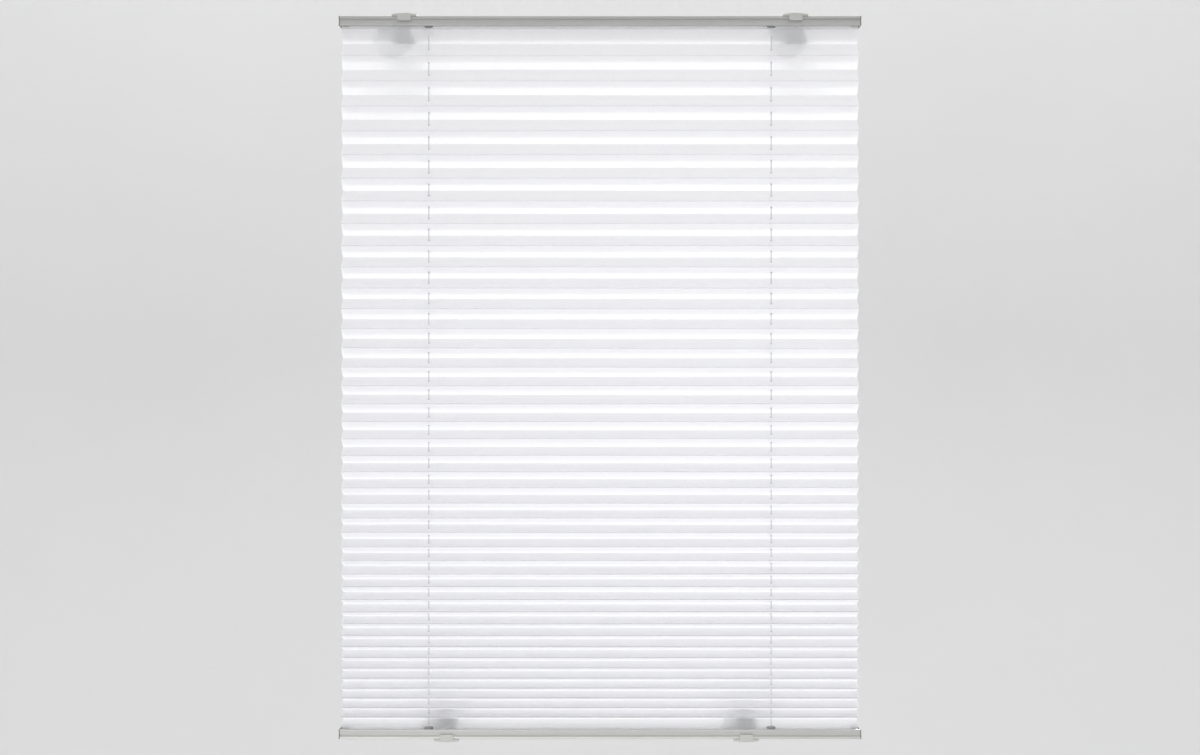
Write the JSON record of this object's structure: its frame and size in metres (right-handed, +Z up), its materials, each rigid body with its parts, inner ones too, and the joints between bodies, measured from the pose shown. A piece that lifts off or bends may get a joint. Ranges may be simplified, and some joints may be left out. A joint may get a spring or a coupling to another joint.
{
  "type": "pleated blind",
  "caption": "White pleated window blind between two slim aluminium rails, with guide cords and clip brackets on suction cups.",
  "frame": {"origin": "on the window pane, midway between the centres of the two upper suction cups as they stand at rest", "axes": "+X along the rails, to the right seen from the room; +Y into the pane; +Z up"},
  "size_m": [0.593, 0.0393, 0.827],
  "materials": {
    "anodised_aluminium": "satin anodised",
    "cap_plastic": "fine satin",
    "strip_plastic": "matt",
    "bushing_plastic": "satin",
    "pleated_fabric": "fine plain weave, light passes through",
    "cord": "braided polyester",
    "sleeve_metal": "bright zinc plate",
    "spring_steel": "bright drawn wire",
    "clip_plastic": "satin",
    "clear_pvc": "clear and glossy"
  },
  "bodies": {
    "top_rail": {"top_rail": "anodised_aluminium", "end_cap_top_left": "cap_plastic", "end_cap_top_right": "cap_plastic", "retaining_strip_top": "strip_plastic", "cord_bushing_top_left": "bushing_plastic", "cord_bushing_top_right": "bushing_plastic", "pleated_fabric": "pleated_fabric", "cord_left": "cord", "cord_right": "cord", "cord_sleeve_left": "sleeve_metal", "cord_sleeve_right": "sleeve_metal", "tension_spring_left": "spring_steel", "tension_spring_right": "spring_steel", "spring_anchor": "strip_plastic"},
    "bottom_rail": {"bottom_rail": "anodised_aluminium", "end_cap_bottom_left": "cap_plastic", "end_cap_bottom_right": "cap_plastic", "retaining_strip_bottom": "strip_plastic", "cord_bushing_bottom_left": "bushing_plastic", "cord_bushing_bottom_right": "bushing_plastic"},
    "bracket_top_left": {"clip_bracket_top_left": "clip_plastic", "suction_cup_top_left": "clear_pvc"},
    "bracket_top_right": {"clip_bracket_top_right": "clip_plastic", "suction_cup_top_right": "clear_pvc"},
    "bracket_bottom_left": {"clip_bracket_bottom_left": "clip_plastic", "suction_cup_bottom_left": "clear_pvc"},
    "bracket_bottom_right": {"clip_bracket_bottom_right": "clip_plastic", "suction_cup_bottom_right": "clear_pvc"}
  },
  "joints": [
    {"name": "bottom_rail_slide", "type": "slide", "parent": "top_rail", "child": "bottom_rail", "axis": [0, 0, 1], "range_m": [0, 0.736], "deforming": ["pleated_fabric", "cord_left", "cord_right"]},
    {"name": "bracket_top_left_slide", "type": "slide", "parent": "top_rail", "child": "bracket_top_left", "axis": [1, 0, 0], "range_m": [-0.058, 0.192]},
    {"name": "bracket_top_right_slide", "type": "slide", "parent": "top_rail", "child": "bracket_top_right", "axis": [1, 0, 0], "range_m": [-0.192, 0.058]},
    {"name": "bracket_bottom_left_slide", "type": "slide", "parent": "bottom_rail", "child": "bracket_bottom_left", "axis": [1, 0, 0], "range_m": [-0.106, 0.144]},
    {"name": "bracket_bottom_right_slide", "type": "slide", "parent": "bottom_rail", "child": "bracket_bottom_right", "axis": [1, 0, 0], "range_m": [-0.136, 0.114]}
  ]
}
